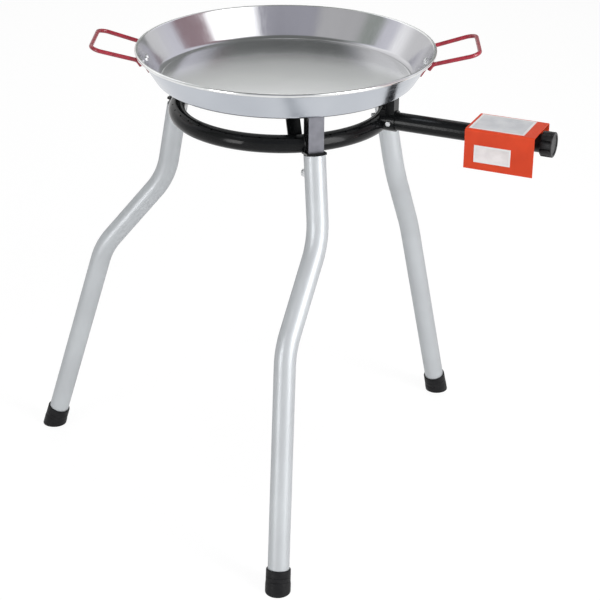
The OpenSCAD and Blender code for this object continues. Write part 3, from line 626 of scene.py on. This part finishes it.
def make_pan():
    corner = (PAN_FLOOR_R, PAN_Z + PAN_CORNER_R)
    down = -math.pi / 2
    inner_top = WALL_TOP_Z - RIM_R / 2
    shares = [i / DOME_STEPS for i in range(DOME_STEPS)]
    dome = [(PAN_FLOOR_R * share, PAN_DOME * (1 - share ** 2)) for share in shares]
    profile = [(r, PAN_Z + rise) for r, rise in dome]
    profile += arc(corner, PAN_CORNER_R, down, -PAN_LEAN, PAN_CORNER_STEPS)
    profile += arc((PAN_R - RIM_R, WALL_TOP_Z), RIM_R, *RIM_ROLL, RIM_STEPS)
    profile += [(wall_r(inner_top) - across(PAN_SHEET), inner_top)]
    profile += arc(corner, PAN_CORNER_R - PAN_SHEET, -PAN_LEAN, down, PAN_CORNER_STEPS)
    profile += [(r, PAN_Z + PAN_SHEET + rise) for r, rise in reversed(dome)]
    bm = bmesh.new()
    turned(bm, profile, PAN_STEPS, Matrix.Translation((PAN_CENTRE.x, PAN_CENTRE.y, 0)))
    for face in bm.faces:
        face.material_index = pan_zone(face)
    stand_for(new_object("pan_spun", bm, [pan_floor(), pan_wall(), pan_outside(), pan_rim()]), "pan")


HALF_SPAN = HANDLE_SPAN / 2
ROD_EDGE_Z = pan_high.z - HANDLE_DROP
TANG_BACK = wall_r(ROD_EDGE_Z) - math.sqrt(wall_r(ROD_EDGE_Z) ** 2 - HALF_SPAN ** 2)
TANG_OFF = across(PLATE_T + ROD_R + ROD_GAP) - TANG_BACK
KNEE_Z = (ROD_EDGE_Z - (PAN_R - wall_r(0) - TANG_OFF) * math.tan(HANDLE_TILT)) / (
    1 - math.tan(PAN_LEAN) * math.tan(HANDLE_TILT)
)
KNEE_X = wall_r(KNEE_Z) + TANG_OFF
PLATE_TOP_Z = KNEE_Z - ROD_R
RIVET_Z = PLATE_TOP_Z - PLATE_H * math.cos(PAN_LEAN) / 2


def round_pan_place(angle):
    return Matrix.Translation((PAN_CENTRE.x, PAN_CENTRE.y, 0)) @ Matrix.Rotation(angle, 4, "Z")


def make_handle(side):
    run = (PAN_R + HANDLE_REACH - KNEE_X) / (math.cos(HANDLE_TILT) * math.cos(HANDLE_FLARE))
    flare = Matrix.Rotation(HANDLE_FLARE, 3, "Z")
    knee = Vector((KNEE_X, HALF_SPAN, KNEE_Z))
    tang = knee - flare @ Vector((math.sin(PAN_LEAN), 0, math.cos(PAN_LEAN))) * TANG_LEN
    corner = knee + flare @ Vector((math.cos(HANDLE_TILT), 0, math.sin(HANDLE_TILT))) * run
    half = [tang, knee, corner]
    other = [Vector((p.x, -p.y, p.z)) for p in reversed(half)]
    place = round_pan_place(HANDLE_ANGLE[side])
    corners = [place @ p for p in half + other]
    bends = [KNEE_R, HANDLE_CORNER_R, HANDLE_CORNER_R, KNEE_R]
    bm = bmesh.new()
    round_ends(bm, bent_skin(bm, corners, bends, ROD_R, ROD_SIDES, ROD_BEND_STEPS), ROD_END_R)
    stand_for(new_object(f"handle_rod_{side}", bm, [RED]), f"handle_{side}")


def make_rivets(side):
    bm = bmesh.new()
    inside = -PAN_SHEET - RIVET_SEAT
    angles = [math.pi / 2 * i / RIVET_DOME_STEPS for i in range(RIVET_DOME_STEPS + 1)]
    dome = [(RIVET_HEAD_R * math.sin(a), RIVET_HEAD_H * math.cos(a)) for a in angles]
    profile = (
        [(r, PLATE_T + h) for r, h in dome] + [(RIVET_R, PLATE_T), (RIVET_R, inside)]
        + [(r, inside - h) for r, h in reversed(dome)]
    )
    for turn in (-1, 1):
        angle = HANDLE_ANGLE[side] + turn * math.asin(RIVET_SPACING / 2 / wall_r(RIVET_Z))
        place = (
            round_pan_place(angle) @ Matrix.Translation((wall_r(RIVET_Z), 0, RIVET_Z))
            @ Matrix.Rotation(math.pi / 2 + PAN_LEAN, 4, "Y")
        )
        turned(bm, profile, RIVET_STEPS, place)
    stand_for(new_object(f"rivet_pair_{side}", bm, [BY_SLOT["pan_steel"]]), f"rivets_{side}")


# Legs

def down_leg(leg):
    """Local Z runs down a leg's upper stretch, local X is the side that it bends to."""
    return (
        Matrix.Rotation(BRACKET_ANGLE[leg], 4, "Z") @ Matrix.Translation((LEG_ROOT, 0, RING_Z))
        @ Matrix.Rotation(-LEG_LEAN, 4, "Y") @ Matrix.Rotation(math.pi, 4, "X")
        @ Matrix.Rotation(-LEG_TWIST[leg], 4, "Z")
    )


def leg_corners(leg):
    """The leg's top, its two bends and its foot on the floor, on the tube's axis."""
    middle = Vector((math.sin(LEG_UPPER_TURN), 0, math.cos(LEG_UPPER_TURN)))
    lower = Vector((math.sin(LEG_LOWER_TURN), 0, math.cos(LEG_LOWER_TURN)))
    first = Vector((0, 0, LEG_UPPER))
    second = first + middle * LEG_MIDDLE
    foot = second + lower * LEG_LOWER
    place = down_leg(leg)
    corners = [place @ p for p in (Vector((0, 0, LEG_TOP)), first, second, foot)]
    slip = (corners[1] - corners[0]).normalized()
    slip *= corners[-1].z / -slip.z
    return [p + slip for p in corners]


def make_leg(leg):
    corners = leg_corners(leg)
    along = (corners[3] - corners[2]).normalized()
    foot = corners[3]
    tube = corners[:3] + [foot - along * CAP_SOLE]
    bm = bmesh.new()
    bends = [LEG_BEND_R, LEG_BEND_R]
    outer = bent_skin(bm, tube, bends, LEG_R, LEG_SIDES, LEG_BEND_STEPS)
    inner = bent_skin(bm, tube, bends, LEG_BORE_R, LEG_SIDES, LEG_BEND_STEPS)
    for outer_end, inner_end in zip(outer, inner):
        bmesh.ops.bridge_loops(bm, edges=outer_end + inner_end)
    stand_for(new_object(f"leg_tube_{leg}", bm, [SILVER]), f"leg_{leg}")

    bm = bmesh.new()
    place = Matrix.Translation(foot) @ along.to_track_quat("Z", "Y").to_matrix().to_4x4()
    lip_r = 1.4 * CAP_LIP
    waist = CAP_R - CAP_LIP / 2
    profile = [(0, -CAP_SOLE), (LEG_R, -CAP_SOLE), (LEG_R, -CAP_LEN + CAP_LIP)]
    profile += [(LEG_R + CAP_LIP / 2, -CAP_LEN)]
    profile += arc((CAP_R - 2 * CAP_LIP, -CAP_LEN + lip_r), lip_r, math.radians(-90), 0, 6)
    for z in CAP_GROOVES:
        profile += [
            (waist, z), (waist - CAP_GROOVE, z + CAP_GROOVE),
            (waist - CAP_GROOVE, z + 2 * CAP_GROOVE), (waist, z + 3 * CAP_GROOVE),
        ]
    profile += [(CAP_R, CAP_BAND), (CAP_R, CAP_R), (0, CAP_R)]
    turned(bm, profile, CAP_STEPS, place)
    geometry = bm.verts[:] + bm.edges[:] + bm.faces[:]
    cut = bmesh.ops.bisect_plane(
        bm, geom=geometry, plane_co=(0, 0, 0), plane_no=(0, 0, 1), clear_inner=True,
    )
    rim = [e for e in cut["geom_cut"] if isinstance(e, bmesh.types.BMEdge)]
    bmesh.ops.contextual_create(bm, geom=rim)
    stand_for(new_object(f"foot_boot_{leg}", bm, [RUBBER]), f"foot_cap_{leg}")


# Welds that hold the brackets to the ring

def make_welds(leg):
    bm = bmesh.new()
    place = Matrix.Rotation(BRACKET_ANGLE[leg], 4, "Z")
    low, high = WELD_ARC
    for side in (-1, 1):
        y = side * (BRACKET_W / 2 + WELD_R * 0.2)
        centre = Vector((math.sqrt(RING_R ** 2 - y ** 2), y, RING_Z))
        start = (
            place @ Matrix.Translation(centre) @ Matrix.Rotation(-low, 4, "Y")
            @ Matrix.Translation((RING_TUBE_R, 0, 0))
        )
        first = circle_loop(bm, start, WELD_R, WELD_SIDES)
        axis = place.to_3x3() @ Vector((0, -1, 0))
        last = swung(bm, first, place @ centre, axis, high - low, WELD_STEPS)
        round_ends(bm, (first, last), WELD_R * 0.6)
    piece = new_object(f"bracket_welds_{leg}", bm, [ENAMEL])
    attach(piece, "stand")


# Knob

def make_knob():
    edge = KNOB_EDGE
    dish_out, dish_in = (KNOB_R * share for share in KNOB_DISH_SHARES)
    profile = [(0, -KNOB_HUB_LEN), (KNOB_HUB_R, -KNOB_HUB_LEN), (KNOB_HUB_R, 0), (KNOB_R - edge, 0)]
    profile += arc((KNOB_R - edge, edge), edge, math.radians(-90), 0, 5)
    profile += [(KNOB_R, KNOB_LEN * share) for share in KNOB_RINGS]
    profile += arc((KNOB_R - edge, KNOB_LEN - edge), edge, 0, math.radians(90), 6)
    profile += [(dish_out, KNOB_LEN), (dish_in, KNOB_LEN - KNOB_DISH), (0, KNOB_LEN - KNOB_DISH)]
    bm = bmesh.new()
    turned(bm, profile, KNOB_STEPS)
    for vert in bm.verts:
        r = math.hypot(vert.co.x, vert.co.y)
        if r > KNOB_HUB_R * 1.01 and vert.co.z < FLUTE_END:
            wave = max(0.0, math.cos(KNOB_FLUTES * math.atan2(vert.co.y, vert.co.x))) ** 3
            fade = min(1.0, (FLUTE_END - vert.co.z) / FLUTE_FADE)
            vert.co.xy *= 1 - wave * fade * FLUTE_DEPTH / KNOB_R
    face = Vector((knob_high.x - KNOB_LEN, 0, (knob_low.z + knob_high.z) / 2))
    place = Matrix.Translation(face) @ Matrix.Rotation(math.pi / 2, 4, "Y")
    bmesh.ops.transform(bm, matrix=place, verts=bm.verts)
    stand_for(new_object("knob_fluted", bm, [PLASTIC]), "control_knob")


# CAD nodes that keep their shape

def outward(leg):
    """Picks the second material, the painted highlight grey, for the faces that look out from the ring's
    axis.
    """
    angle = BRACKET_ANGLE[leg]
    out = Vector((math.cos(angle), math.sin(angle), 0))
    return lambda normal: 1 if normal.dot(out) > 0.98 else 0


def make_soft_nodes():
    for leg in LEGS:
        # The brackets' outward faces get the painted highlight grey; their other faces stay black enamel.
        softened(f"bracket_{leg}", [ENAMEL, PAINTED_BRACKET_SHEEN], PLATE_EDGE, paint=outward(leg))
        softened(f"base_plate_{leg}", [ENAMEL], PLATE_EDGE)
        softened(f"pan_rest_{leg}", [ENAMEL], PLATE_EDGE)
        softened(f"clamp_nut_{leg}", [ZINC], SMALL_EDGE)
        softened(f"thumbscrew_{leg}", [ZINC], SMALL_EDGE)
    for side in ("left", "right"):
        softened(f"handle_plate_{side}", [RED], HANDLE_PLATE_EDGE)
    softened("cover", [ORANGE], SMALL_EDGE)
    softened("arm_socket", [ENAMEL], PLATE_EDGE)
    softened("arm_post", [ENAMEL], PLATE_EDGE)
    softened("arm_screws", [ZINC], SMALL_EDGE)
    softened("cover_screws", [ZINC], SMALL_EDGE)
    softened("tap_gland", [BRASS], SMALL_EDGE)


def dress_cad_nodes():
    """Every CAD node that still shows gets its material."""
    side_print = label_print(
        "side_label_print", "side_label", SIDE_LABEL_BORDER, (0.72, 0.67, 0.67), (0.86, 0.81, 0.81),
    )
    for name, obj in frame["nodes"].items():
        obj.data.materials.clear()
        obj.data.materials.append(side_print if name == "side_label" else BY_SLOT[SLOT_OF[name]])


# Stage

def make_floor():
    bm = bmesh.new()
    bmesh.ops.create_grid(bm, x_segments=1, y_segments=1, size=FLOOR_HALF)
    floor = new_object("studio_floor", bm, [])
    floor.location.z = -FLOOR_DROP
    material = bpy.data.materials.new("floor_paper")
    material.use_nodes = True
    tree = material.node_tree
    tree.nodes.clear()
    path = add(tree, "ShaderNodeLightPath").outputs
    seen = math_node(tree, "MAXIMUM", path["Is Camera Ray"], path["Is Glossy Ray"])
    seen = math_node(tree, "MAXIMUM", seen, path["Is Transmission Ray"])
    paper = add(tree, "ShaderNodeBsdfDiffuse", {"Color": PAPER_TONE})
    shade = add(tree, "ShaderNodeBsdfDiffuse", {"Color": PAPER_SHADE})
    white = add(tree, "ShaderNodeEmission", {"Color": (1, 1, 1, 1), "Strength": PAPER_GLOW})
    shown = add(tree, "ShaderNodeAddShader")
    tree.links.new(shade.outputs[0], shown.inputs[0])
    tree.links.new(white.outputs[0], shown.inputs[1])
    mix = add(tree, "ShaderNodeMixShader", {"Fac": seen})
    tree.links.new(paper.outputs[0], mix.inputs[1])
    tree.links.new(shown.outputs[0], mix.inputs[2])
    output = add(tree, "ShaderNodeOutputMaterial")
    tree.links.new(mix.outputs[0], output.inputs["Surface"])
    floor.data.materials.append(material)


def turn_share(bearing):
    return (bearing + 180) / 360


def sector(tree, share, bearings, soft):
    """1 between two bearings and 0 elsewhere, with soft edges."""
    low, high = (turn_share(bearing) for bearing in bearings)
    return ramp(tree, share, [(low - soft, 0.0), (low + soft, 1.0), (high - soft, 1.0), (high + soft, 0.0)])


def above(tree, height, edge):
    """0 below an edge and 1 above it."""
    low, high = edge
    return ramp(tree, height, [(low, 0.0), (high, 1.0)])


def make_world():
    """A studio: white paper up to a low height, then walls, flags and far softboxes round the object."""
    world = bpy.data.worlds.new("studio")
    world.use_nodes = True
    tree = world.node_tree
    tree.nodes.clear()
    place = add(tree, "ShaderNodeTexCoord").outputs["Generated"]
    parts = add(tree, "ShaderNodeSeparateXYZ", {"Vector": place}).outputs
    turn = math_node(tree, "ARCTAN2", parts["Y"], parts["X"])
    share = math_node(tree, "MULTIPLY_ADD", turn, 0.5 / math.pi, 0.5)
    stops = []
    for from_bearing, to_bearing, tone in STUDIO_WALLS:
        stops.append((turn_share(from_bearing) + WALL_SOFT, tone))
        stops.append((turn_share(to_bearing) - WALL_SOFT, tone))
    walls = ramp(tree, share, stops)
    height = parts["Z"]
    room = blend(tree, above(tree, height, PAPER_EDGE), (1, 1, 1, 1), walls)
    room = blend(tree, sector(tree, share, SCREEN, WALL_SOFT), room, SCREEN_TONE)
    window = math_node(
        tree, "MULTIPLY", sector(tree, share, WINDOW, WINDOW_SOFT), above(tree, height, WINDOW_EDGE),
    )
    room = blend(tree, window, room, WINDOW_TONE)
    room = blend(tree, above(tree, height, CEILING_EDGE), room, CEILING_TONE)
    background = add(tree, "ShaderNodeBackground", {"Color": room, "Strength": STUDIO_STRENGTH})
    output = add(tree, "ShaderNodeOutputWorld")
    tree.links.new(background.outputs[0], output.inputs["Surface"])
    bpy.context.scene.world = world
    world.cycles_visibility.diffuse = False


def softbox(name, place, target, size, power, mirrored):
    light = bpy.data.lights.new(name, "AREA")
    light.shape = "RECTANGLE"
    light.size, light.size_y = size
    light.energy = power
    obj = bpy.data.objects.new(name, light)
    obj.location = place
    obj.rotation_euler = (Vector(target) - Vector(place)).to_track_quat("-Z", "Y").to_euler()
    obj.visible_glossy = mirrored
    bpy.context.scene.collection.objects.link(obj)


def make_lights():
    for lamp in LAMPS:
        softbox(*lamp)


def make_camera():
    camera = bpy.data.cameras.new("photo_camera")
    camera.lens = CAMERA_LENS
    camera.sensor_width = SENSOR_W
    obj = bpy.data.objects.new("photo_camera", camera)
    obj.matrix_world = (
        Matrix.Translation(CAMERA_PLACE) @ Matrix.Rotation(CAMERA_TURN, 4, "Z")
        @ Matrix.Rotation(math.pi / 2 - CAMERA_PITCH, 4, "X") @ Matrix.Rotation(CAMERA_ROLL, 4, "Z")
    )
    bpy.context.scene.collection.objects.link(obj)
    bpy.context.scene.camera = obj


make_camera()
dress_cad_nodes()
make_pan()
for handle_side in HANDLE_ANGLE:
    make_handle(handle_side)
    make_rivets(handle_side)
for leg_name in LEGS:
    make_leg(leg_name)
    make_welds(leg_name)
make_knob()
make_soft_nodes()
make_floor()
make_world()
make_lights()
bpy.context.scene.view_settings.view_transform = "Standard"
